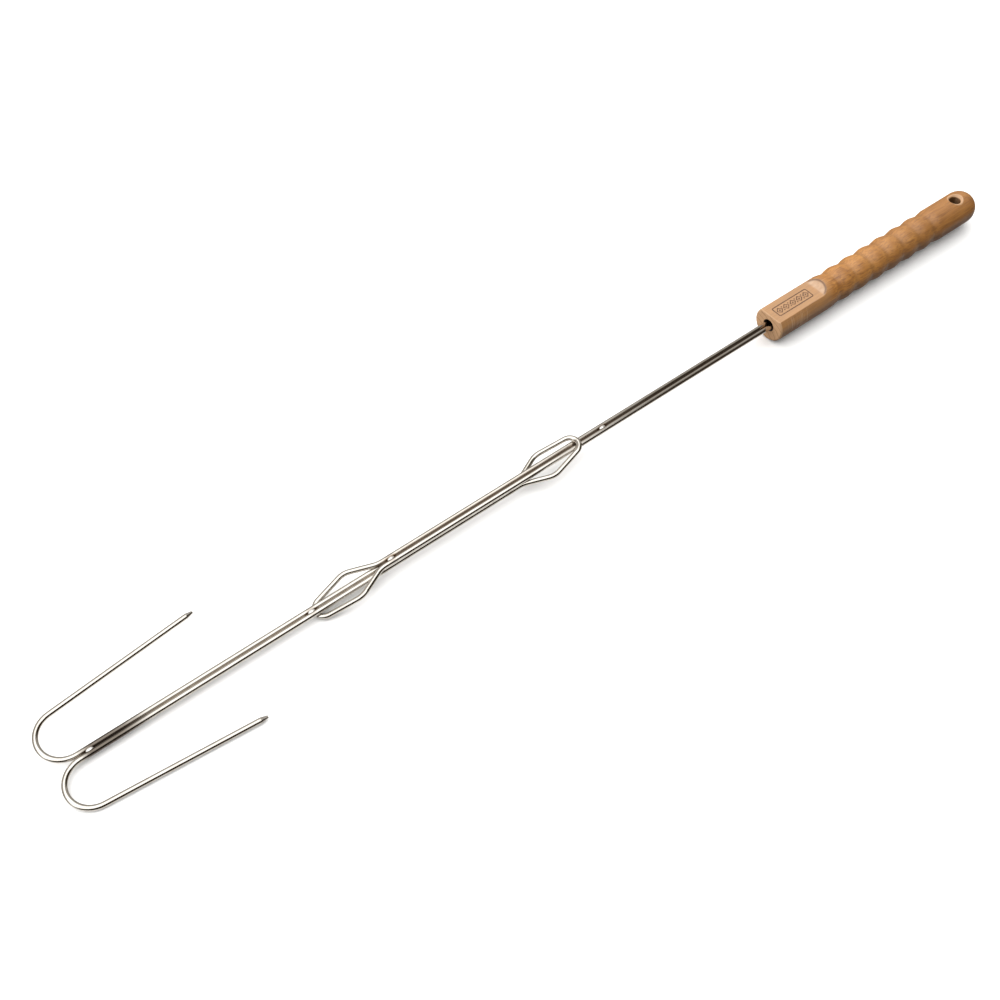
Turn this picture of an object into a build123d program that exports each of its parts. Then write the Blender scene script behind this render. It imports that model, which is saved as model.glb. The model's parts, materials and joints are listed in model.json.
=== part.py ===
from build123d import *
import math
import os

# A telescoping roasting fork lying on a level surface: +X from the handle to the fork, +Z up.
# Each station named *_AT is a distance in mm from the handle's rear tip.
OVERALL_LENGTH = 851.0  # rear tip of the handle to the outside of the prong bends

# Turned wooden handle
HANDLE_LENGTH = 238.0
HANDLE_DIAMETER = 28.0
FACE_EDGE_RADIUS = 1.6  # softened edge around the front face
FLAT_HEIGHT = 9.7  # milled flat above the handle's axis
FLAT_END_AT = 190.5  # where the flat starts to curve up into its run-out
FLAT_RUN_OUT_RADIUS = 11.0
FLAT_EDGE_RADIUS = 0.6  # sanded edges of the flat and its run-out
FIRST_VALLEY_AT = 58.5
VALLEY_COUNT = 7
VALLEY_PITCH = 18.6
VALLEY_DEPTH = 1.5
BULGE_FULLNESS = 1.0  # tangent length of the outline at a bulge
VALLEY_FULLNESS = 0.55  # the same in a valley: less makes it tighter

# Hanging hole through the handle, square to the flat
HOLE_AT = 22.5
HOLE_DIAMETER = 9.2
HOLE_RIM_DIAMETER = 13.4
HOLE_RIM_DEPTH = 2.3
HOLE_EDGE_RADIUS = 0.4

# Blind bore in the front face, and the adhesive in it
BORE_DIAMETER = 9.6
BORE_DEPTH = 70.0
BORE_MOUTH_CHAMFER = 0.4
GLUE_SET_BACK = 12.0  # from the bore's mouth to the adhesive
GLUE_LENGTH = 52.0

# Round wire, bent into both moving halves
WIRE_DIAMETER = 4.0
LEG_GAP = 0.05  # between the two legs of a pair
SLIDE_CLEARANCE = 0.15  # between anything of one wire that passes over the other
ROD_INSERTION = 60.0  # length of the legs inside the handle

# Diamond loops. Both wires carry the same loop, turned end for end and upside down.
ROD_APEX_AT = 606.5
FORK_APEX_AT = 484.7
LOOP_CORNER_DISTANCE = 22.0  # from the apex to the widest point
LOOP_LENGTH = 51.8  # from the apex to the centre line of the rounded end
LOOP_CORNER_HALF_WIDTH = 11.8
LOOP_END_HALF_WIDTH = 6.1
LOOP_CORNER_STEP = 2.0  # change of level between the apex and the widest point
APEX_BEND_RADIUS = 14.8
CORNER_BEND_RADIUS = 14.0
END_BEND_RADIUS = 7.3

# Prongs, which turn back towards the handle
PRONG_BEND_RADIUS = 17.25
PRONG_SPREAD_DEGREES = 5.3
PRONG_LENGTH = 104.4  # straight part, without the tapered point
PRONG_TIP_LENGTH = 4.8
PRONG_TIP_RADIUS = 0.95
FORK_HEIGHT_AT_BENDS = 4.75  # centre line of the fork's legs where the prong bends start
LOW_PRONG_ROLL_DEGREES = 4.5  # the +Y prong is bent down on to the surface
HIGH_PRONG_ROLL_DEGREES = 6.0  # the -Y prong is bent up, off the surface

# Weld beads in the groove between two legs
ROD_WELDS_AT = {"rear": 223.5, "middle": 408.5, "front": 597.0}
FORK_WELDS_AT = {"rear": 496.0, "middle": 661.5, "front": 824.0}
BEAD_LENGTH = 5.2
BEAD_WIDTH = 3.6
BEAD_HEIGHT = 2.2
BEAD_TOP_BELOW_LEGS = 0.1  # beads stay under the level of the legs' tops, so that nothing catches

SHORTEST_EDGE = 0.05  # straight runs under this are left out of a bent wire

# Derived sizes
HANDLE_RADIUS = HANDLE_DIAMETER / 2
WIRE_RADIUS = WIRE_DIAMETER / 2
LEG_OFFSET = WIRE_RADIUS + LEG_GAP / 2
LEVEL_STEP = WIRE_DIAMETER + SLIDE_CLEARANCE
BEND_START_AT = OVERALL_LENGTH - PRONG_BEND_RADIUS - WIRE_RADIUS
REST_FALL = HANDLE_RADIUS - LEVEL_STEP - FORK_HEIGHT_AT_BENDS
REST_PITCH_DEGREES = math.degrees(math.atan2(REST_FALL, BEND_START_AT - HANDLE_LENGTH))

HALF_LOOP_RADII = [APEX_BEND_RADIUS, CORNER_BEND_RADIUS, END_BEND_RADIUS]
LOOP_RADII = HALF_LOOP_RADII + HALF_LOOP_RADII[::-1]

# Every piece is drawn straight first: x along the handle's axis from its front face, z square to its flat.
# This place then lays the fork down, so that it rests on the handle's front edge and the low prong.
LYING = Location((HANDLE_LENGTH - OVERALL_LENGTH / 2, 0, HANDLE_RADIUS), (0, REST_PITCH_DEGREES, 0))


def along(station):
    """Distance in front of the handle's front face of a station given from its rear tip."""
    return station - HANDLE_LENGTH


def handle_profile():
    """Half outline of the turned handle, in the XZ plane above its axis."""
    rear_tip = along(0)
    rear_centre = rear_tip + HANDLE_RADIUS
    diagonal = HANDLE_RADIUS * math.sqrt(0.5)
    rear = ThreePointArc(
        (rear_tip, 0, 0),
        (rear_centre - diagonal, 0, diagonal),
        (rear_centre, 0, HANDLE_RADIUS),
    )
    wave, wave_start, wave_end = grip_wave()
    corner = -FACE_EDGE_RADIUS
    inner_corner = HANDLE_RADIUS - FACE_EDGE_RADIUS
    edge_diagonal = FACE_EDGE_RADIUS * math.sqrt(0.5)
    edge = ThreePointArc(
        (corner, 0, HANDLE_RADIUS),
        (corner + edge_diagonal, 0, inner_corner + edge_diagonal),
        (0, 0, inner_corner),
    )
    outline = [
        rear,
        Line((rear_centre, 0, HANDLE_RADIUS), (wave_start, 0, HANDLE_RADIUS)),
        wave,
        Line((wave_end, 0, HANDLE_RADIUS), (corner, 0, HANDLE_RADIUS)),
        edge,
        Line((0, 0, inner_corner), (0, 0, 0)),
        Line((0, 0, 0), (rear_tip, 0, 0)),
    ]
    return make_face(outline)


def grip_wave():
    """Smooth curve of valleys and bulges, with the two x positions where it meets the plain handle."""
    start = along(FIRST_VALLEY_AT) - VALLEY_PITCH / 2
    points = [(start, 0, HANDLE_RADIUS)]
    for index in range(VALLEY_COUNT):
        valley = start + (index + 0.5) * VALLEY_PITCH
        points.append((valley, 0, HANDLE_RADIUS - VALLEY_DEPTH))
        points.append((valley + VALLEY_PITCH / 2, 0, HANDLE_RADIUS))
    level = [(1, 0, 0)] * len(points)
    fullness = [BULGE_FULLNESS] + [VALLEY_FULLNESS, BULGE_FULLNESS] * VALLEY_COUNT
    wave = Spline(points, tangents=level, tangent_scalars=fullness)
    return wave, start, points[-1][0]


def flat_cutter():
    """Block that mills the flat, with the curved run-out at its rear end."""
    flat_end = along(FLAT_END_AT)
    beyond = HANDLE_RADIUS
    top = FLAT_HEIGHT + FLAT_RUN_OUT_RADIUS
    diagonal = FLAT_RUN_OUT_RADIUS * math.sqrt(0.5)
    run_out = ThreePointArc(
        (flat_end, 0, FLAT_HEIGHT),
        (flat_end - diagonal, 0, top - diagonal),
        (flat_end - FLAT_RUN_OUT_RADIUS, 0, top),
    )
    outline = [
        run_out,
        Line((flat_end - FLAT_RUN_OUT_RADIUS, 0, top), (beyond, 0, top)),
        Line((beyond, 0, top), (beyond, 0, FLAT_HEIGHT)),
        Line((beyond, 0, FLAT_HEIGHT), (flat_end, 0, FLAT_HEIGHT)),
    ]
    return extrude(make_face(outline), HANDLE_RADIUS, dir=(0, 1, 0), both=True)


def hole_cutter():
    """Through hole with a countersunk rim at both ends."""
    shaft = Cylinder(HOLE_DIAMETER / 2, HANDLE_DIAMETER * 2)
    slope = (HOLE_RIM_DIAMETER - HOLE_DIAMETER) / 2 / HOLE_RIM_DEPTH
    length = HOLE_RIM_DEPTH * 2
    rim = Cone(HOLE_DIAMETER / 2, HOLE_DIAMETER / 2 + slope * length, length)
    top = Pos(0, 0, HANDLE_RADIUS) * rim
    bottom = Rot(180, 0, 0) * top
    return Pos(along(HOLE_AT), 0, 0) * (shaft + top + bottom)


def bore_cylinder(start, length):
    """Cylinder of the bore's diameter on the handle's axis, from a depth below the mouth."""
    middle = -start - length / 2
    return Pos(middle, 0, 0) * Rot(0, 90, 0) * Cylinder(BORE_DIAMETER / 2, length)


def make_handle():
    """Turned, milled and drilled handle, with its edges sanded."""
    milled = revolve(handle_profile(), Axis.X) - flat_cutter()
    flat = milled.faces().filter_by(Plane.XY).sort_by(Axis.Z)[-1]
    outline = flat.edges().sort_by(Axis.X)[1:]  # all but the line where the run-out starts
    sanded = fillet(outline, FLAT_EDGE_RADIUS)
    holed = sanded - hole_cutter()
    rims = holed.faces().filter_by(GeomType.CONE).edges()
    bored = fillet(rims, HOLE_EDGE_RADIUS) - bore_cylinder(0, BORE_DEPTH)
    front_circles = bored.edges().filter_by(GeomType.CIRCLE).group_by(Axis.X)[-1]
    mouth = front_circles.sort_by(SortBy.RADIUS)[0]
    return chamfer(mouth, BORE_MOUTH_CHAMFER)


def rounded_path(points, radii):
    """Edges of a polyline in space whose inner corners are rounded to the given radii."""
    corners = [Vector(*point) for point in points]
    edges = []
    start = corners[0]
    for before, corner, after, radius in zip(corners, corners[1:], corners[2:], radii):
        incoming = (corner - before).normalized()
        outgoing = (after - corner).normalized()
        half_turn = math.radians(incoming.get_angle(outgoing)) / 2
        setback = radius * math.tan(half_turn)
        bulge = radius / math.cos(half_turn) - radius
        inward = (outgoing - incoming).normalized()
        arc_start = corner - incoming * setback
        arc_end = corner + outgoing * setback
        arc_middle = corner + inward * bulge
        if (arc_start - start).length > SHORTEST_EDGE:
            edges.append(Edge.make_line(start, arc_start))
        edges.append(Edge.make_three_point_arc(arc_start, arc_middle, arc_end))
        start = arc_end
    edges.append(Edge.make_line(start, corners[-1]))
    return edges


def loop_corners(apex, direction, level):
    """Corner points of a diamond loop, from its +Y leg to its -Y leg.

    The direction is the way the loop points along x, and the loop steps across the other wire's level.
    """
    step = -direction * LEVEL_STEP * 2
    corner_step = -direction * LOOP_CORNER_STEP
    side = [
        (apex, LEG_OFFSET, level),
        (apex + direction * LOOP_CORNER_DISTANCE, LOOP_CORNER_HALF_WIDTH, level + corner_step),
        (apex + direction * LOOP_LENGTH, LOOP_END_HALF_WIDTH, level + step),
    ]
    other_side = [(x, -y, z) for x, y, z in reversed(side)]
    return side + other_side


def sweep_wire(edges):
    """Solid round wire along tangent edges."""
    path = Wire(edges)
    section = Plane(path @ 0, z_dir=path % 0) * Circle(WIRE_RADIUS)
    return sweep(section, path=path)


def make_handle_rod():
    """Wire with two legs in the handle and the front diamond loop."""
    apex = along(ROD_APEX_AT)
    leg_start = (-ROD_INSERTION, LEG_OFFSET, 0)
    leg_end = (-ROD_INSERTION, -LEG_OFFSET, 0)
    points = [leg_start] + loop_corners(apex, 1, 0) + [leg_end]
    return sweep_wire(rounded_path(points, LOOP_RADII))


def swing(point, side, roll):
    """Turns a point about the leg on the given side, so that the prong leaves the legs' plane."""
    x, y, z = point
    angle = math.radians(roll)
    reach = abs(y) - LEG_OFFSET
    lift = reach * math.sin(angle) + z * math.cos(angle)
    spread = reach * math.cos(angle) - z * math.sin(angle)
    return Vector(x, side * (LEG_OFFSET + spread), lift - LEVEL_STEP)


def prong_edges(side, roll):
    """Prong bend and straight prong of one side, from the leg to the tip, with the tip's direction."""
    start = along(BEND_START_AT)
    centre = LEG_OFFSET + PRONG_BEND_RADIUS
    spread = math.radians(PRONG_SPREAD_DEGREES)
    turn_end = (
        start + PRONG_BEND_RADIUS * math.sin(spread),
        centre + PRONG_BEND_RADIUS * math.cos(spread),
        0,
    )
    tip = (
        turn_end[0] - PRONG_LENGTH * math.cos(spread),
        turn_end[1] + PRONG_LENGTH * math.sin(spread),
        0,
    )
    outline = [(start, LEG_OFFSET, 0), (start + PRONG_BEND_RADIUS, centre, 0), turn_end, tip]
    bend_start, bend_middle, bend_end, prong_tip = [swing(p, side, roll) for p in outline]
    bend = Edge.make_three_point_arc(bend_start, bend_middle, bend_end)
    straight = Edge.make_line(bend_end, prong_tip)
    return bend, straight


def prong_point(straight):
    """Tapered point that closes a prong."""
    tip = straight @ 1
    taper = Cone(WIRE_RADIUS, PRONG_TIP_RADIUS, PRONG_TIP_LENGTH)
    return Plane(tip, z_dir=straight % 1) * Pos(0, 0, PRONG_TIP_LENGTH / 2) * taper


def reversed_edge(edge):
    """The same line or arc, run the other way."""
    if edge.geom_type == GeomType.LINE:
        return Edge.make_line(edge @ 1, edge @ 0)
    return Edge.make_three_point_arc(edge @ 1, edge @ 0.5, edge @ 0)


def make_fork_wire():
    """Wire with both prongs and the rear diamond loop."""
    low_bend, low_prong = prong_edges(1, -LOW_PRONG_ROLL_DEGREES)
    high_bend, high_prong = prong_edges(-1, HIGH_PRONG_ROLL_DEGREES)
    apex = along(FORK_APEX_AT)
    leg_start = tuple(low_bend @ 0)
    leg_end = tuple(high_bend @ 0)
    points = [leg_start] + loop_corners(apex, -1, -LEVEL_STEP) + [leg_end]
    edges = [reversed_edge(low_prong), reversed_edge(low_bend)]
    edges += rounded_path(points, LOOP_RADII)
    edges += [high_bend, high_prong]
    return sweep_wire(edges) + prong_point(low_prong) + prong_point(high_prong)


def make_bead(station, level, wire):
    """Weld bead in the groove on top of two legs, fitted against the wire."""
    middle = level + WIRE_RADIUS - BEAD_TOP_BELOW_LEGS - BEAD_HEIGHT / 2
    place = Pos(along(station), 0, middle)
    blob = place * scale(Sphere(0.5), by=(BEAD_LENGTH, BEAD_WIDTH, BEAD_HEIGHT))
    below = place * Pos(0, 0, -BEAD_HEIGHT * 0.75) * Box(BEAD_LENGTH, BEAD_WIDTH, BEAD_HEIGHT)
    return blob - below - wire  # the quarter that would hang into the gap is cut off


def make_beads(prefix, stations, level, wire):
    """Named beads along one pair of legs."""
    return {f"{prefix}_weld_{name}": make_bead(at, level, wire) for name, at in stations.items()}


def build_all():
    """Every piece in its place, by name."""
    rod = make_handle_rod()
    fork = make_fork_wire()
    pieces = {"handle": make_handle(), "handle_rod": rod, "fork_wire": fork}
    pieces.update(make_beads("rod", ROD_WELDS_AT, 0, rod))
    pieces.update(make_beads("fork", FORK_WELDS_AT, -LEVEL_STEP, fork))
    glue = bore_cylinder(GLUE_SET_BACK, GLUE_LENGTH)
    pieces["glue_plug"] = glue - rod - pieces["rod_weld_rear"]
    return {name: LYING * shape for name, shape in pieces.items()}


os.makedirs("parts", exist_ok=True)
for name, shape in build_all().items():
    export_step(shape, f"parts/{name}.step")
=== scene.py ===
import json
import math

import bmesh
import bpy
from mathutils import Matrix, Vector


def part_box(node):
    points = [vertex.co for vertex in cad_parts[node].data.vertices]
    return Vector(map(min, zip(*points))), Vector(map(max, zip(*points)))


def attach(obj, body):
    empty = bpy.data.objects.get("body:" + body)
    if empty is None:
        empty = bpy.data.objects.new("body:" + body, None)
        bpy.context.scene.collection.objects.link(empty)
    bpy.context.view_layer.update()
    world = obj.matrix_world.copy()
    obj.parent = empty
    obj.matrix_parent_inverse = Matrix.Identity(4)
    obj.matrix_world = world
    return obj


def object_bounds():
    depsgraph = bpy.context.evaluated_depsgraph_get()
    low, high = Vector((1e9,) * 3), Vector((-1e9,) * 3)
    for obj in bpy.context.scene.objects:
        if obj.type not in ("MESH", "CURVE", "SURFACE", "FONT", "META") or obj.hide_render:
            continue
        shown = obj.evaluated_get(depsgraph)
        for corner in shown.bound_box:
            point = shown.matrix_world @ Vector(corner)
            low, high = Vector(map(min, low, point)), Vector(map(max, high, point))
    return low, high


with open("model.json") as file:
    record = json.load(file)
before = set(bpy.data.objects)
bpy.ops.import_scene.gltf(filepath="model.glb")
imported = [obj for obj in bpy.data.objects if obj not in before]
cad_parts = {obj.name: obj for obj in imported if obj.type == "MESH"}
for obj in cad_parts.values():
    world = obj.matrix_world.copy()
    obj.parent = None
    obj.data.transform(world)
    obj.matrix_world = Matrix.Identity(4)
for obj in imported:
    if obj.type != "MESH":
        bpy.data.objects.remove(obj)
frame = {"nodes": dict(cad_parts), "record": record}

cad_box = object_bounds()

MM = 0.001
MICRON = 0.000001

# Camera, as an angle round the object and a point near the middle of its footprint
CAMERA_AZIMUTH = 142.494
CAMERA_ELEVATION = 52.034
CAMERA_ROLL = -0.476
CAMERA_DISTANCE = 0.9146
CAMERA_AIM = Vector((0.0816, 0.0048, 0.010))
LENS_MM = 46.81
SENSOR_MM = 36.0

# The handle's own frame, from the frame's mounts and boxes. Its x runs from the hanging hole.
MOUNTS = {mount["name"]: mount for mount in frame["record"]["mounts"]}
HOLE = Vector(MOUNTS["hanging_hole"]["pos_m"])
UP = Vector(MOUNTS["hanging_hole"]["axis"])
HOLE_RADIUS = MOUNTS["hanging_hole"]["dims"]["r_mm"] * MM
HOLE_RIM_WIDTH = 2.2 * MM
PITCH = math.atan2(UP.x, UP.z)
HANDLE_LOW, HANDLE_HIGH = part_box("handle")
HANDLE_RADIUS = (HANDLE_HIGH.y - HANDLE_LOW.y) / 2
ALONG = Vector((math.cos(PITCH), 0, -math.sin(PITCH)))
FACE_X = (HANDLE_HIGH.x - HOLE.x) / ALONG.x
FLAT_MIDDLE = Vector(MOUNTS["thumb_flat"]["pos_m"])
FLAT_HEIGHT = (FLAT_MIDDLE - HOLE).dot(UP)
FLAT_MIDDLE_X = (FLAT_MIDDLE - HOLE).dot(ALONG)
FLAT_END_X = 2 * FLAT_MIDDLE_X - FACE_X
COVE_START_X = FLAT_END_X - 9.5 * MM  # the cove is the flat's curved run-out
COVE_END_X = FLAT_END_X + 0.5 * MM
GLUE_LOW, GLUE_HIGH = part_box("glue_plug")
BORE_RADIUS = (GLUE_HIGH.y - GLUE_LOW.y) / 2
BORE_END_X = (GLUE_LOW.x - HOLE.x) / ALONG.x - 7 * MM

# The prongs' ground points
PRONG = MOUNTS["low_prong"]
PRONG_REACH = PRONG["dims"]["length_mm"] / 2 * MM
PRONG_END_X = PRONG["pos_m"][0] + PRONG["axis"][0] * PRONG_REACH
GROUND_FROM_X = PRONG_END_X + 1.3 * MM
GROUND_TO_X = PRONG_END_X + 0.3 * MM
PRONG_INSIDE = 20 * MM  # further out than the loops reach

# Residue in the grooves between the legs, and the smoke stain around the fork's front weld
WELD_HEAT_REACH = 5 * MM
WELD_RESIDUE_REACH = 8 * MM
ROD_RESIDUE_SHARE = 0.55
ROD_RESIDUE_HALF_WIDTH = 1.4 * MM
FORK_RESIDUE_SHARE = 0.30
FORK_RESIDUE_HALF_WIDTH = 0.8 * MM
FORK_SMOKE_SHARE = 0.92
SMOKE_BEHIND = 48 * MM
SMOKE_IN_FRONT = 14 * MM
SMOKE_HALF_WIDTH = 6 * MM

# Growth rings of the wood, about a pith outside the handle that runs slightly askew to it
RING_WIDTH = 2.4 * MM
PITH_SIDE = 31 * MM
PITH_BELOW = 44 * MM
PITH_SLOPE = 0.05

# Studio light. Angles go round the wires, from the horizon at the low prong over the top.
SOFTBOX = (math.radians(50), math.radians(124))
SOFTBOX_EDGE = math.radians(5)
SOFTBOX_END = (-0.50, -0.36)  # directions along X between which it fades out, short of the handle
DOME_FACING = Vector((0.15, -0.50, 0.85)).normalized()
FLOOR_HALF_SIZE = 30.0
FLOOR_GAP = 20 * MICRON

# Burnt ornament on the flat, a generic border with lozenges
MARK_LENGTH = 36.5 * MM
MARK_WIDTH = 9.4 * MM
MARK_SET_BACK = 6.5 * MM
MARK_CORNER = 1.2 * MM
MARK_LINE = 0.95 * MM
MARK_MARGIN = 1.4 * MM  # from the border to the lozenges
MARK_RISE = 0.03 * MM
MARK_DEPTH = 0.2 * MM
LOZENGE_COUNT = 5
LOZENGE_HALF_LENGTH = 2.7 * MM
LOZENGE_HALF_WIDTH = 2.6 * MM
LOZENGE_LINE = MARK_LINE * 0.85
MIDDLE_DOT_RADIUS = MARK_LINE * 0.8
SIDE_DOT_RADIUS = MARK_LINE * 0.7
SIDE_DOT_PLACE = LOZENGE_HALF_WIDTH * 0.75
DOT_SIDES = 12
CORNER_STEPS = 6

# Colours, as linear red, green and blue. Tones give a colour at each brightness of a pattern.
BEECH_TONES = [
    (0.34, (0.250, 0.096, 0.017)),
    (0.48, (0.375, 0.155, 0.030)),
    (0.60, (0.465, 0.203, 0.043)),
    (0.72, (0.545, 0.258, 0.062)),
]
END_GRAIN_TONES = [(0.25, (0.33, 0.175, 0.085)), (0.75, (0.57, 0.345, 0.190))]
DARK_FIBRE = (0.14, 0.052, 0.014)
HANDLED_WOOD = (0.200, 0.082, 0.019)
PALE_WOOD = (0.38, 0.205, 0.090)
RAY_FLECK = (0.26, 0.115, 0.042)
PORE = (0.22, 0.10, 0.04)
MILLED_WOOD = (0.44, 0.27, 0.150)
TORN_FIBRE = (0.56, 0.405, 0.285)
# Painted shade: a thin dark line along the cove's lip
COVE_LIP_SHADE = (0.14, 0.062, 0.022)
# Painted shade in the turned valleys, in blotches
VALLEY_SHADE = (0.17, 0.080, 0.030)
# Painted shade: the handle's underside darkened
UNDERSIDE_SHADE = (0.075, 0.038, 0.019)
WORN_EDGE = (0.72, 0.50, 0.31)
CUT_RIM = (0.70, 0.47, 0.29)
# Darker cut wood inside the hanging hole, deepened by painted shade
HOLE_WALL_AND_SHADE = (0.10, 0.052, 0.024)
# Nearly black inside the bore and at its mouth: darker cut wood with painted shade
BORE_WALL_AND_SHADE = (0.022, 0.014, 0.009)
SCRATCH = (0.80, 0.62, 0.44)
CHAR_TONES = [
    (0.36, (0.040, 0.020, 0.011)),
    (0.52, (0.105, 0.050, 0.024)),
    (0.68, (0.270, 0.135, 0.062)),
]
STEEL_TONES = [(0.30, (0.62, 0.585, 0.535)), (0.70, (0.73, 0.705, 0.665))]
DRAWN_LINE = (0.46, 0.43, 0.39)
HEAT_TINT = (0.24, 0.195, 0.16)
RESIDUE = (0.170, 0.100, 0.045)
SMOKE = (0.105, 0.085, 0.068)
NICK = (0.25, 0.23, 0.21)
GROUND_STEEL = (0.34, 0.32, 0.30)
# Weld bead colours, near white and brighter than the wire: a painted highlight
BEAD_HIGHLIGHT_TONES = [(0.30, (0.82, 0.80, 0.77)), (0.65, (0.97, 0.965, 0.95))]
# Painted shade with a warm tint, on the bead's sides
BEAD_TINT_AND_SHADE = (0.26, 0.21, 0.17)
ADHESIVE_TONES = [(0.30, (0.045, 0.032, 0.022)), (0.70, (0.11, 0.085, 0.06))]
BUBBLE = (0.02, 0.015, 0.01)
PAPER_TONES = [(0.3, (0.95, 0.95, 0.95)), (0.7, (0.97, 0.97, 0.97))]
FLOOR_BOUNCE = (0.18, 0.175, 0.17)
FLOOR_MIRRORED_BELOW = (0.86, 0.84, 0.82)
FLOOR_MIRRORED_AFAR = (0.03, 0.022, 0.015)
SOFTBOX_LIGHT = (1.9, 1.88, 1.84)
ROOM_NEAR = (0.040, 0.027, 0.016)
ROOM_FAR = (0.46, 0.43, 0.39)
DOME_TONES = [(0.0, (0.03, 0.03, 0.03)), (1.0, (2.45, 2.44, 2.41))]
WHITE = (1.0, 1.0, 1.0)


def make_camera():
    """Camera at the object's three-quarter angle, from the fork's side."""
    low, high = cad_box
    middle = Vector(((low.x + high.x) / 2, (low.y + high.y) / 2, low.z))
    azimuth = math.radians(CAMERA_AZIMUTH)
    elevation = math.radians(CAMERA_ELEVATION)
    back = Vector((
        math.sin(azimuth) * math.cos(elevation),
        -math.cos(azimuth) * math.cos(elevation),
        math.sin(elevation),
    ))
    data = bpy.data.cameras.new("camera")
    data.lens = LENS_MM
    data.sensor_width = SENSOR_MM
    camera = bpy.data.objects.new("camera", data)
    turn = (-back).to_track_quat("-Z", "Y").to_matrix().to_4x4()
    roll = Matrix.Rotation(math.radians(CAMERA_ROLL), 4, "Z")
    place = Matrix.Translation(middle + CAMERA_AIM + back * CAMERA_DISTANCE)
    camera.matrix_world = place @ turn @ roll
    bpy.context.scene.collection.objects.link(camera)
    bpy.context.scene.camera = camera


def rgba(color):
    """A colour with alpha, where it is a plain one."""
    return (*color, 1.0) if isinstance(color, tuple) and len(color) == 3 else color


class Nodes:
    """Short ways to add nodes to a material or the world."""

    def __init__(self, tree):
        self.tree = tree
        tree.nodes.clear()

    def add(self, kind, inputs=None, **settings):
        node = self.tree.nodes.new(kind)
        for name, value in settings.items():
            setattr(node, name, value)
        for name, value in (inputs or {}).items():
            self.connect(value, node.inputs[name])
        return node

    def connect(self, value, socket):
        if isinstance(value, bpy.types.NodeSocket):
            self.tree.links.new(value, socket)
        else:
            socket.default_value = value

    def place(self):
        """Place on the object, in metres."""
        return self.add("ShaderNodeTexCoord").outputs["Object"]

    def facing(self):
        """The surface's direction along X, Y and Z."""
        return self.split(self.add("ShaderNodeTexCoord").outputs["Normal"])

    def math(self, operation, *values, clamp=False):
        node = self.add("ShaderNodeMath", operation=operation, use_clamp=clamp)
        for index, value in enumerate(values):
            self.connect(value, node.inputs[index])
        return node.outputs[0]

    def product(self, *values):
        result = values[0]
        for value in values[1:]:
            result = self.math("MULTIPLY", result, value)
        return result

    def weighted(self, value, weight, rest, clamp=False):
        """Value times its weight, plus the rest."""
        return self.math("MULTIPLY_ADD", value, weight, rest, clamp=clamp)

    def vector(self, operation, *values):
        node = self.add("ShaderNodeVectorMath", operation=operation)
        for index, value in enumerate(values):
            self.connect(value, node.inputs[index])
        return node.outputs["Value" if operation in ("DOT_PRODUCT", "LENGTH") else "Vector"]

    def split(self, vector):
        outputs = self.add("ShaderNodeSeparateXYZ", {"Vector": vector}).outputs
        return outputs["X"], outputs["Y"], outputs["Z"]

    def join(self, x, y, z):
        return self.add("ShaderNodeCombineXYZ", {"X": x, "Y": y, "Z": z}).outputs["Vector"]

    def smooth(self, value, low, high):
        """0 at low, 1 at high, smooth between. High may be the smaller."""
        node = self.add("ShaderNodeMapRange", interpolation_type="SMOOTHSTEP")
        ends = (low, high, 0.0, 1.0) if low < high else (high, low, 1.0, 0.0)
        self.connect(value, node.inputs["Value"])
        for name, end in zip(("From Min", "From Max", "To Min", "To Max"), ends):
            node.inputs[name].default_value = end
        return node.outputs["Result"]

    def band(self, value, low, high, edge):
        """1 between low and high, with soft edges."""
        rise = self.smooth(value, low - edge, low + edge)
        fall = self.smooth(value, high + edge, high - edge)
        return self.math("MULTIPLY", rise, fall)

    def mix(self, share, first, second):
        node = self.add("ShaderNodeMix", data_type="RGBA")
        self.connect(share, node.inputs[0])
        self.connect(rgba(first), node.inputs[6])
        self.connect(rgba(second), node.inputs[7])
        return node.outputs[2]

    def layers(self, color, *layers):
        """A colour with others laid over it in turn, each given as its mask, share and colour."""
        for mask, share, layer in layers:
            color = self.mix(self.product(mask, share), color, layer)
        return color

    def noise(self, vector, scale, detail=3.0, roughness=0.55):
        """Noise with scale features per metre, one number or one for each axis."""
        if isinstance(scale, tuple):
            vector = self.vector("MULTIPLY", vector, scale)
            scale = 1.0
        inputs = {"Vector": vector, "Scale": scale, "Detail": detail, "Roughness": roughness}
        return self.add("ShaderNodeTexNoise", inputs).outputs["Fac"]

    def specks(self, vector, scale, radius):
        """Small marks at scattered points, scale of them per metre along each axis, 1 in their middle."""
        inputs = {"Vector": self.vector("MULTIPLY", vector, scale), "Scale": 1.0}
        distance = self.add("ShaderNodeTexVoronoi", inputs).outputs["Distance"]
        return self.smooth(distance, radius, radius * 0.4)

    def ramp(self, value, tones):
        node = self.add("ShaderNodeValToRGB", {"Fac": value})
        elements = node.color_ramp.elements
        while len(elements) < len(tones):
            elements.new(1.0)
        for element, (position, color) in zip(elements, tones):
            element.position = position
            element.color = rgba(color)
        return node.outputs["Color"]

    def bump(self, height, distance, normal=None):
        node = self.add("ShaderNodeBump", {"Height": height, "Strength": 1.0, "Distance": distance})
        if normal is not None:
            self.connect(normal, node.inputs["Normal"])
        return node.outputs["Normal"]

    def surface(self, color, roughness, normal, metallic=0.0, oil=0.5):
        inputs = {
            "Base Color": rgba(color),
            "Roughness": roughness,
            "Normal": normal,
            "Metallic": metallic,
            "Specular IOR Level": oil,
        }
        shader = self.add("ShaderNodeBsdfPrincipled", inputs)
        self.add("ShaderNodeOutputMaterial", {"Surface": shader.outputs[0]})


def new_material(name):
    material = bpy.data.materials.new(name)
    material.use_nodes = True
    return material, Nodes(material.node_tree)


def weld_centres(prefix):
    """Middles of the weld beads whose names start with the prefix."""
    beads = sorted(name for name in frame["nodes"] if name.startswith(prefix))
    return [(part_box(name)[0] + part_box(name)[1]) / 2 for name in beads]


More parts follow.
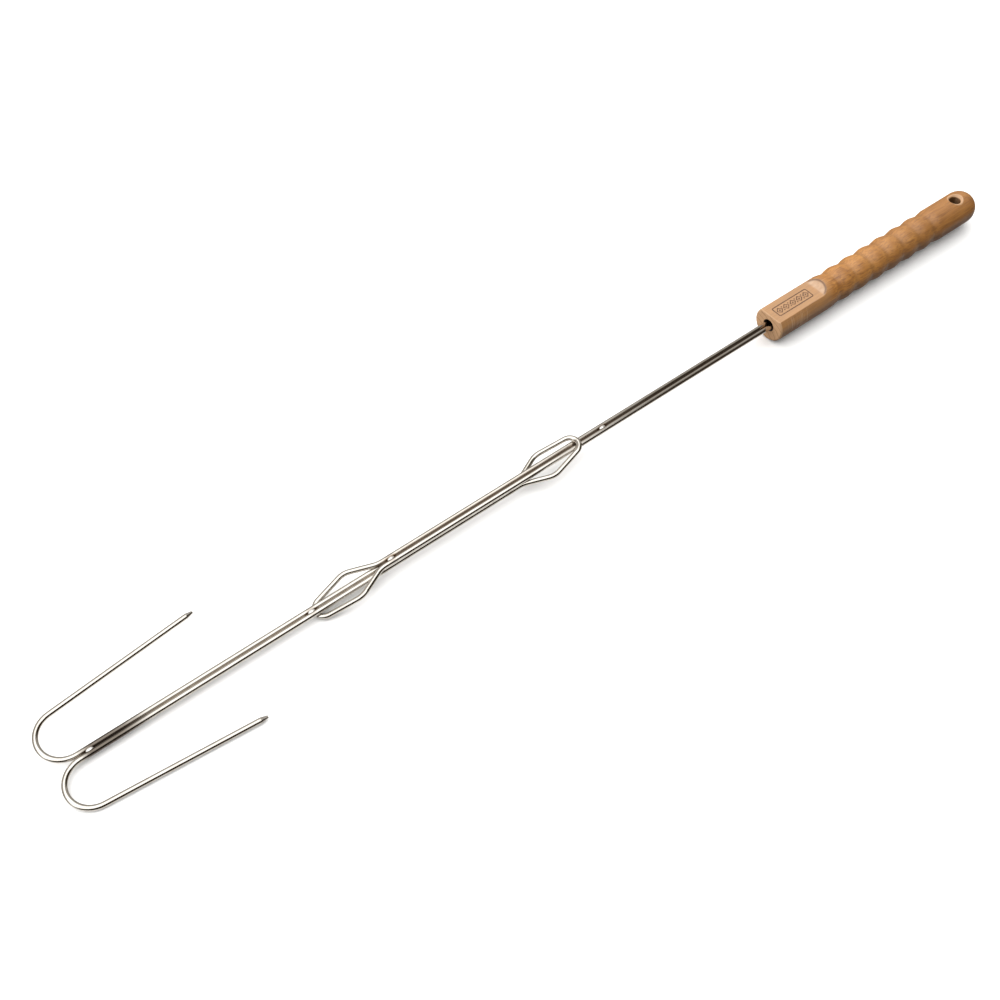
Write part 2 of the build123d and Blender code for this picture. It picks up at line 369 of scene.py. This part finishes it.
def weld_heat(nodes, place, centres):
    """Closeness to the nearest weld, 1 at its edge and 0 well away."""
    heat = 0.0
    for centre in centres:
        distance = nodes.vector("LENGTH", nodes.vector("SUBTRACT", place, tuple(centre)))
        close = nodes.smooth(distance, WELD_HEAT_REACH, 2 * MM)
        heat = nodes.math("MAXIMUM", heat, close)
    return heat


def groove_residue(nodes, place, centres, share, half_width):
    """Brown residue in the groove between two legs, thickest at the welds, with its share elsewhere."""
    x, y, z = nodes.split(place)
    near = 0.0
    for centre in centres:
        distance = nodes.math("ABSOLUTE", nodes.math("SUBTRACT", x, centre.x))
        close = nodes.smooth(distance, WELD_RESIDUE_REACH, 3 * MM)
        near = nodes.math("MAXIMUM", near, close)
    patchy = nodes.weighted(nodes.noise(place, (45, 400, 400)), 0.5 * share, 0.75 * share)
    amount = nodes.math("MAXIMUM", nodes.product(near, 0.85), patchy, clamp=True)
    return nodes.product(amount, nodes.band(y, -half_width, half_width, 0.5 * MM))


def smoke_stain(nodes, place, centre):
    """Darkening of the two legs around one weld, long towards the handle."""
    x, y, z = nodes.split(place)
    edge = nodes.weighted(nodes.noise(place, 130.0), 10 * MM, x)
    behind = nodes.smooth(edge, centre.x - SMOKE_BEHIND, centre.x - SMOKE_BEHIND / 4)
    in_front = nodes.smooth(edge, centre.x + SMOKE_IN_FRONT, centre.x + SMOKE_IN_FRONT / 4)
    on_legs = nodes.band(y, -SMOKE_HALF_WIDTH, SMOKE_HALF_WIDTH, 1 * MM)
    return nodes.product(behind, in_front, on_legs)


def ground_points(nodes, place):
    """The prongs' ground points, which stand further out to the sides than any other part of the wires."""
    x, y, z = nodes.split(place)
    behind = nodes.smooth(x, GROUND_FROM_X, GROUND_TO_X)
    outside = nodes.smooth(nodes.math("ABSOLUTE", y), PRONG_INSIDE, PRONG_INSIDE + 1 * MM)
    return nodes.product(behind, outside)


def steel_material(name, centres, smoke_share, residue_share, residue_half_width):
    """Drawn stainless wire: polished, with fine lines along it, dulled and smoked at its welds."""
    material, nodes = new_material(name)
    place = nodes.place()
    drawn = nodes.noise(place, (24, 2600, 2600), 4.0, 0.6)
    smudge = nodes.noise(place, 110.0, 4.0)
    patches = nodes.noise(place, (16, 60, 60), 2.0)
    nicks = nodes.specks(place, (420, 900, 900), 0.10)
    rings = nodes.noise(place, (9000, 300, 300), 2.0)
    heat = weld_heat(nodes, place, centres)
    residue = groove_residue(nodes, place, centres, residue_share, residue_half_width)
    smoke = smoke_stain(nodes, place, max(centres, key=lambda centre: centre.x))
    ground = ground_points(nodes, place)
    color = nodes.layers(
        nodes.ramp(smudge, STEEL_TONES),
        (drawn, 0.12, DRAWN_LINE),
        (heat, 0.45, HEAT_TINT),
        (residue, 1.0, RESIDUE),
        (smoke, smoke_share, SMOKE),
        (nicks, 0.35, NICK),
        (nodes.product(ground, rings), 0.6, GROUND_STEEL),
    )
    roughness = nodes.weighted(drawn, 0.04, 0.05)
    roughness = nodes.weighted(patches, 0.05, roughness)
    roughness = nodes.weighted(nodes.math("MAXIMUM", heat, smoke), 0.10, roughness)
    roughness = nodes.weighted(ground, 0.12, roughness, clamp=True)
    normal = nodes.bump(drawn, 0.25 * MICRON)
    normal = nodes.bump(nodes.product(nicks, -1.0), 10 * MICRON, normal)
    normal = nodes.bump(nodes.product(rings, ground), 10 * MICRON, normal)
    nodes.surface(color, roughness, normal, metallic=1.0)
    return material


def weld_material():
    """Bead of melted steel: fine ripples, coloured near white as a painted highlight, and darker with a warm
    tint as painted shade where it turns away from the top.
    """
    material, nodes = new_material("weld_metal")
    place = nodes.place()
    ripples = nodes.noise(place, (2600, 900, 900), 2.0)
    grain = nodes.noise(place, 3500.0)
    spatter = nodes.specks(place, (1800, 1800, 1800), 0.22)
    # Painted shade: the bead darker where it faces away from the top, with a warm tint
    edge = nodes.smooth(nodes.facing()[2], 0.45, 0.05)
    color = nodes.layers(nodes.ramp(grain, BEAD_HIGHLIGHT_TONES), (edge, 1.0, BEAD_TINT_AND_SHADE))
    roughness = nodes.weighted(grain, 0.22, 0.22)
    normal = nodes.bump(ripples, 60 * MICRON)
    normal = nodes.bump(nodes.math("ADD", grain, spatter), 25 * MICRON, normal)
    nodes.surface(color, roughness, normal, metallic=1.0)
    return material


def adhesive_material():
    """Dark set adhesive in the bore, with small bubbles and a skin."""
    material, nodes = new_material("adhesive")
    place = nodes.place()
    bubbles = nodes.specks(place, (700, 700, 700), 0.35)
    skin = nodes.noise(place, 420.0, 4.0)
    color = nodes.layers(nodes.ramp(skin, ADHESIVE_TONES), (bubbles, 0.6, BUBBLE))
    roughness = nodes.weighted(skin, 0.25, 0.42)
    normal = nodes.bump(nodes.math("SUBTRACT", skin, bubbles), 80 * MICRON)
    nodes.surface(color, roughness, normal)
    return material


def handle_place(nodes):
    """Place in the handle's own frame: x along its axis from the hanging hole, z square to the flat."""
    offset = nodes.vector("SUBTRACT", nodes.place(), tuple(HOLE))
    inputs = {"Vector": offset, "Angle": -PITCH}
    return nodes.add("ShaderNodeVectorRotate", inputs, rotation_type="Y_AXIS").outputs["Vector"]


def wood_regions(nodes, place):
    """Soft masks of the handle's surfaces, each 0 to 1."""
    x, y, z = nodes.split(place)
    facing_x, facing_y, facing_z = nodes.facing()
    radius = nodes.vector("LENGTH", nodes.join(0.0, y, z))
    hole_distance = nodes.vector("LENGTH", nodes.join(x, y, 0.0))
    by_cove = nodes.band(x, COVE_START_X, COVE_END_X, 0.6 * MM)
    return {
        "rear": nodes.smooth(x, 150 * MM, 25 * MM),
        "front": nodes.smooth(x, FLAT_END_X - 14 * MM, FLAT_END_X - 4 * MM),
        # Painted shade: the valleys between the bulges, where the radius falls
        "waist": nodes.product(
            nodes.smooth(radius, HANDLE_RADIUS - 0.9 * MM, HANDLE_RADIUS - 1.5 * MM),
            nodes.smooth(x, FLAT_END_X - 8 * MM, FLAT_END_X - 12 * MM),
            nodes.smooth(x, 10 * MM, 14 * MM),
        ),
        "flat": nodes.product(
            nodes.smooth(facing_z, 0.985, 0.998),
            nodes.smooth(x, FACE_X - 60 * MM, FACE_X - 50 * MM),
        ),
        "cove": nodes.product(
            nodes.smooth(facing_x, 0.08, 0.30),
            nodes.smooth(facing_z, 0.45, 0.75),
            by_cove,
        ),
        # Painted shade along the cove's lip, where its wall turns steeply up to the round
        "lip": nodes.product(
            nodes.smooth(facing_x, 0.12, 0.35),
            nodes.smooth(radius, HANDLE_RADIUS - 1.4 * MM, HANDLE_RADIUS - 0.6 * MM),
            by_cove,
        ),
        "end": nodes.smooth(facing_x, 0.80, 0.96),
        # Painted shade on the surfaces facing down; also lowers the sheen level there
        "under": nodes.smooth(facing_z, 0.42, -0.08),
        # Inside the hanging hole: darker cut wood with painted shade
        "hole": nodes.smooth(hole_distance, HOLE_RADIUS + 0.35 * MM, HOLE_RADIUS + 0.05 * MM),
        "rim": nodes.band(hole_distance, HOLE_RADIUS + 0.3 * MM, HOLE_RADIUS + HOLE_RIM_WIDTH, 0.25 * MM),
        # Inside the bore and at its mouth: darker cut wood with painted shade
        "bore": nodes.product(
            nodes.smooth(radius, BORE_RADIUS + 0.8 * MM, BORE_RADIUS + 0.15 * MM),
            nodes.smooth(x, BORE_END_X - 5 * MM, BORE_END_X),
        ),
        "side_marks": nodes.product(
            nodes.band(x, FACE_X - 30 * MM, FACE_X - 7 * MM, 4 * MM),
            nodes.band(facing_z, -0.55, 0.62, 0.12),
        ),
        "face_edge": nodes.product(
            nodes.smooth(x, FACE_X - 2.2 * MM, FACE_X - 1.2 * MM),
            nodes.band(facing_x, 0.12, 0.85, 0.1),
        ),
    }


def late_wood(nodes, place):
    """The dense, darker outer part of each growth ring, 0 to 1."""
    x, y, z = nodes.split(place)
    from_pith = nodes.join(
        0.0,
        nodes.math("ADD", y, PITH_SIDE),
        nodes.weighted(x, PITH_SLOPE, nodes.math("ADD", z, PITH_BELOW)),
    )
    rings_out = nodes.math("DIVIDE", nodes.vector("LENGTH", from_pith), RING_WIDTH)
    drift = nodes.noise(place, (9, 70, 70))
    ring = nodes.math("PINGPONG", nodes.weighted(drift, 2.2, rings_out), 1.0)
    return nodes.smooth(ring, 0.70, 1.0)


def wood_material():
    """Turned beech: rings about a distant pith, fine fibres, ray flecks, oiled grip and end grain, with
    painted shade in the valleys, on the underside, at the cove's lip and inside the hole and bore.
    """
    material, nodes = new_material("beech")
    place = handle_place(nodes)
    regions = wood_regions(nodes, place)
    late = late_wood(nodes, place)
    fibres = nodes.noise(place, (38, 1500, 1500), 5.0, 0.7)
    streaks = nodes.noise(place, (14, 420, 420), 4.0, 0.6)
    blotches = nodes.noise(place, (28, 45, 45))
    dashes = nodes.smooth(nodes.noise(place, (65, 1200, 1200), 2.0, 0.5), 0.50, 0.64)
    flecks = nodes.specks(place, (330, 1500, 2600), 0.30)
    pores = nodes.specks(place, (160, 3600, 3600), 0.26)
    scratches = nodes.smooth(nodes.noise(place, (2300, 26, 26), 2.0), 0.56, 0.66)
    scratches = nodes.product(scratches, regions["side_marks"])

    tone = nodes.weighted(streaks, 0.42, nodes.weighted(fibres, 0.56, -0.11))
    tone = nodes.weighted(blotches, 0.30, tone)
    tone = nodes.weighted(late, -0.07, tone)
    end_tone = nodes.weighted(late, -0.35, nodes.weighted(fibres, 0.7, 0.35))
    color = nodes.layers(
        nodes.ramp(tone, BEECH_TONES),
        (dashes, 0.50, DARK_FIBRE),
        (regions["rear"], 0.38, HANDLED_WOOD),
        (regions["front"], 0.55, PALE_WOOD),
        (flecks, 0.34, RAY_FLECK),
        (pores, 0.28, PORE),
        (regions["flat"], 0.30, MILLED_WOOD),
        (regions["cove"], nodes.weighted(streaks, 0.8, 0.05), TORN_FIBRE),
        # Painted shade: the cove's lip darkened
        (regions["lip"], 0.80, COVE_LIP_SHADE),
        # Painted shade darkening the valleys, in blotches
        (regions["waist"], nodes.product(blotches, 0.4), VALLEY_SHADE),
        # Painted shade: the underside darkened
        (regions["under"], 0.60, UNDERSIDE_SHADE),
        (regions["end"], 1.0, nodes.ramp(end_tone, END_GRAIN_TONES)),
        (regions["face_edge"], 0.35, WORN_EDGE),
        (regions["rim"], 0.45, CUT_RIM),
        # Darker cut wood with painted shade inside the hanging hole
        (regions["hole"], 0.75, HOLE_WALL_AND_SHADE),
        # Nearly black bore: darker cut wood with painted shade
        (regions["bore"], 0.90, BORE_WALL_AND_SHADE),
        (scratches, 0.34, SCRATCH),
    )
    roughness = nodes.weighted(fibres, 0.16, 0.36)
    roughness = nodes.weighted(regions["waist"], -0.05, roughness)
    roughness = nodes.weighted(regions["end"], 0.14, roughness)
    normal = nodes.bump(fibres, 28 * MICRON)
    normal = nodes.bump(nodes.math("ADD", flecks, pores), -22 * MICRON, normal)
    normal = nodes.bump(scratches, 30 * MICRON, normal)
    nodes.surface(color, roughness, normal, oil=nodes.weighted(regions["under"], -0.60, 0.70))
    return material


def burnt_material():
    """Scorched wood: nearly black to brown, mottled by char and fine fibres, with a rough, crackled bump."""
    material, nodes = new_material("burnt_mark")
    place = handle_place(nodes)
    char = nodes.noise(place, 1500.0, 4.0, 0.65)
    fibres = nodes.noise(place, (90, 2600, 2600))
    tone = nodes.weighted(fibres, 0.4, nodes.product(char, 0.6))
    roughness = nodes.weighted(char, 0.2, 0.6)
    nodes.surface(nodes.ramp(tone, CHAR_TONES), roughness, nodes.bump(char, 30 * MICRON))
    return material


def arc_points(centre, radius, start, end, steps):
    """Points on an arc, from start to end in degrees."""
    points = []
    for index in range(steps + 1):
        angle = math.radians(start + (end - start) * index / steps)
        points.append(centre + Vector((math.cos(angle), math.sin(angle))) * radius)
    return points


def rounded_rectangle(half_length, half_width, corner):
    """Outline with round corners, counter-clockwise."""
    points = []
    for turn, (side_x, side_y) in enumerate([(1, 1), (-1, 1), (-1, -1), (1, -1)]):
        centre = Vector((side_x * (half_length - corner), side_y * (half_width - corner)))
        points += arc_points(centre, corner, 90 * turn, 90 * turn + 90, CORNER_STEPS)
    return points


def lozenge(middle_x, half_length, half_width):
    corners = [(half_length, 0), (0, half_width), (-half_length, 0), (0, -half_width)]
    return [Vector((middle_x + x, y)) for x, y in corners]


def offset_outline(points, distance):
    """A closed outline moved sideways by a distance, with mitred corners."""
    moved = []
    for before, point, after in zip(points[-1:] + points[:-1], points, points[1:] + points[:1]):
        incoming = (point - before).normalized()
        outgoing = (after - point).normalized()
        first = Vector((incoming.y, -incoming.x))
        second = Vector((outgoing.y, -outgoing.x))
        moved.append(point + (first + second) * distance / (1 + first.dot(second)))
    return moved


def mark_point(point, height):
    """A point of the ornament's plane in the row frame, where height is above the flat."""
    along = FACE_X - MARK_SET_BACK - MARK_LENGTH / 2 + point.x
    return HOLE + ALONG * along + Vector((0, point.y, 0)) + UP * (FLAT_HEIGHT + height)


def add_ring(mesh, outline, height):
    return [mesh.verts.new(mark_point(point, height)) for point in outline]


def join_rings(mesh, ring, other):
    """A strip of faces between two closed rings of as many points."""
    for index in range(len(ring)):
        after = (index + 1) % len(ring)
        mesh.faces.new((ring[index], ring[after], other[after], other[index]))


def add_line(mesh, points, width):
    """Closed burnt line of a width along an outline."""
    section = (
        (width / 2, -MARK_DEPTH),
        (width / 2, 0.0),
        (width / 4, MARK_RISE),
        (-width / 4, MARK_RISE),
        (-width / 2, 0.0),
        (-width / 2, -MARK_DEPTH),
    )
    rings = [add_ring(mesh, offset_outline(points, distance), height) for distance, height in section]
    for ring, other in zip(rings, rings[1:] + rings[:1]):
        join_rings(mesh, ring, other)


def add_dot(mesh, middle, radius):
    """Round burnt dot, crowned in the middle."""
    rings = []
    for share, height in ((1.0, -MARK_DEPTH), (1.0, 0.0), (0.6, MARK_RISE)):
        circle = arc_points(middle, radius * share, 0, 360, DOT_SIDES)[:-1]
        rings.append(add_ring(mesh, circle, height))
    for ring, other in zip(rings, rings[1:]):
        join_rings(mesh, ring, other)
    mesh.faces.new(rings[-1])
    mesh.faces.new(rings[0][::-1])


def make_mark():
    """Ornament burnt into the flat: a border, a row of lozenges, and dots."""
    mesh = bmesh.new()
    half_length = MARK_LENGTH / 2
    add_line(mesh, rounded_rectangle(half_length, MARK_WIDTH / 2, MARK_CORNER), MARK_LINE)
    pitch = 2 * (half_length - LOZENGE_HALF_LENGTH - MARK_MARGIN) / (LOZENGE_COUNT - 1)
    for index in range(LOZENGE_COUNT):
        middle = (index - (LOZENGE_COUNT - 1) / 2) * pitch
        add_line(mesh, lozenge(middle, LOZENGE_HALF_LENGTH, LOZENGE_HALF_WIDTH), LOZENGE_LINE)
        add_dot(mesh, Vector((middle, 0)), MIDDLE_DOT_RADIUS)
    for index in range(LOZENGE_COUNT - 1):
        middle = (index - (LOZENGE_COUNT - 2) / 2) * pitch
        for side in (-1, 1):
            add_dot(mesh, Vector((middle, side * SIDE_DOT_PLACE)), SIDE_DOT_RADIUS)
    bmesh.ops.recalc_face_normals(mesh, faces=mesh.faces)
    data = bpy.data.meshes.new("burnt_mark")
    mesh.to_mesh(data)
    mesh.free()
    mark = bpy.data.objects.new("burnt_mark", data)
    bpy.context.scene.collection.objects.link(mark)
    mark.data.materials.append(burnt_material())
    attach(mark, "handle_half")


def assign(node, material):
    for slot in frame["nodes"][node].material_slots:
        slot.material = material


def finish_nodes():
    """Materials of the CAD nodes."""
    rod_steel = steel_material(
        "rod_steel", weld_centres("rod_weld"), 0.0, ROD_RESIDUE_SHARE, ROD_RESIDUE_HALF_WIDTH
    )
    fork_steel = steel_material(
        "fork_steel", weld_centres("fork_weld"), FORK_SMOKE_SHARE, FORK_RESIDUE_SHARE, FORK_RESIDUE_HALF_WIDTH
    )
    weld = weld_material()
    assign("handle", wood_material())
    assign("handle_rod", rod_steel)
    assign("fork_wire", fork_steel)
    assign("glue_plug", adhesive_material())
    for name in frame["nodes"]:
        if "_weld_" in name:
            assign(name, weld)


def make_floor():
    """White studio floor, just under the object. Wires mirror it bright below them and dark further off."""
    mesh = bmesh.new()
    bmesh.ops.create_grid(mesh, x_segments=1, y_segments=1, size=FLOOR_HALF_SIZE)
    data = bpy.data.meshes.new("floor")
    mesh.to_mesh(data)
    mesh.free()
    floor = bpy.data.objects.new("floor", data)
    floor.location.z = cad_box[0].z - FLOOR_GAP
    bpy.context.scene.collection.objects.link(floor)
    material, nodes = new_material("floor")
    paper = nodes.noise(nodes.place(), 900.0, 2.0)
    rays = nodes.add("ShaderNodeLightPath").outputs
    slant = nodes.add("ShaderNodeLayerWeight", {"Blend": 0.5}).outputs["Facing"]
    mirrored = nodes.mix(nodes.smooth(slant, 0.64, 0.42), FLOOR_MIRRORED_AFAR, FLOOR_MIRRORED_BELOW)
    color = nodes.mix(rays["Is Camera Ray"], FLOOR_BOUNCE, nodes.ramp(paper, PAPER_TONES))
    color = nodes.mix(rays["Is Glossy Ray"], color, mirrored)
    nodes.surface(color, 0.6, nodes.bump(paper, 5 * MICRON))
    floor.data.materials.append(material)


def reflected_room(nodes, direction):
    """What polished wire mirrors: a softbox overhead that ends short of the handle, in a dim warm room."""
    x, y, z = nodes.split(direction)
    around = nodes.math("ARCTAN2", z, y)
    softbox = nodes.product(
        nodes.band(around, *SOFTBOX, SOFTBOX_EDGE),
        nodes.smooth(x, *SOFTBOX_END),
    )
    far_side = nodes.smooth(around, SOFTBOX[0] + SOFTBOX_EDGE, SOFTBOX[1])
    return nodes.mix(softbox, nodes.mix(far_side, ROOM_NEAR, ROOM_FAR), SOFTBOX_LIGHT)


def diffuse_dome(nodes, direction):
    """Soft light from all of the sky, strongest from above and from behind the object."""
    facing = nodes.vector("DOT_PRODUCT", direction, tuple(DOME_FACING))
    return nodes.ramp(nodes.smooth(facing, -0.3, 1.0), DOME_TONES)


def make_world():
    """Studio: plain white to look at, a soft dome for diffuse light and a softbox for reflections."""
    world = bpy.data.worlds.new("studio")
    bpy.context.scene.world = world
    world.use_nodes = True
    nodes = Nodes(world.node_tree)
    direction = nodes.add("ShaderNodeTexCoord").outputs["Generated"]
    rays = nodes.add("ShaderNodeLightPath").outputs
    dome = diffuse_dome(nodes, direction)
    light = nodes.mix(rays["Is Glossy Ray"], dome, reflected_room(nodes, direction))
    light = nodes.mix(rays["Is Camera Ray"], light, WHITE)
    background = nodes.add("ShaderNodeBackground", {"Color": light, "Strength": 1.0})
    nodes.add("ShaderNodeOutputWorld", {"Surface": background.outputs[0]})


make_camera()
make_floor()
make_world()
finish_nodes()
make_mark()
bpy.context.scene.view_settings.view_transform = "Standard"
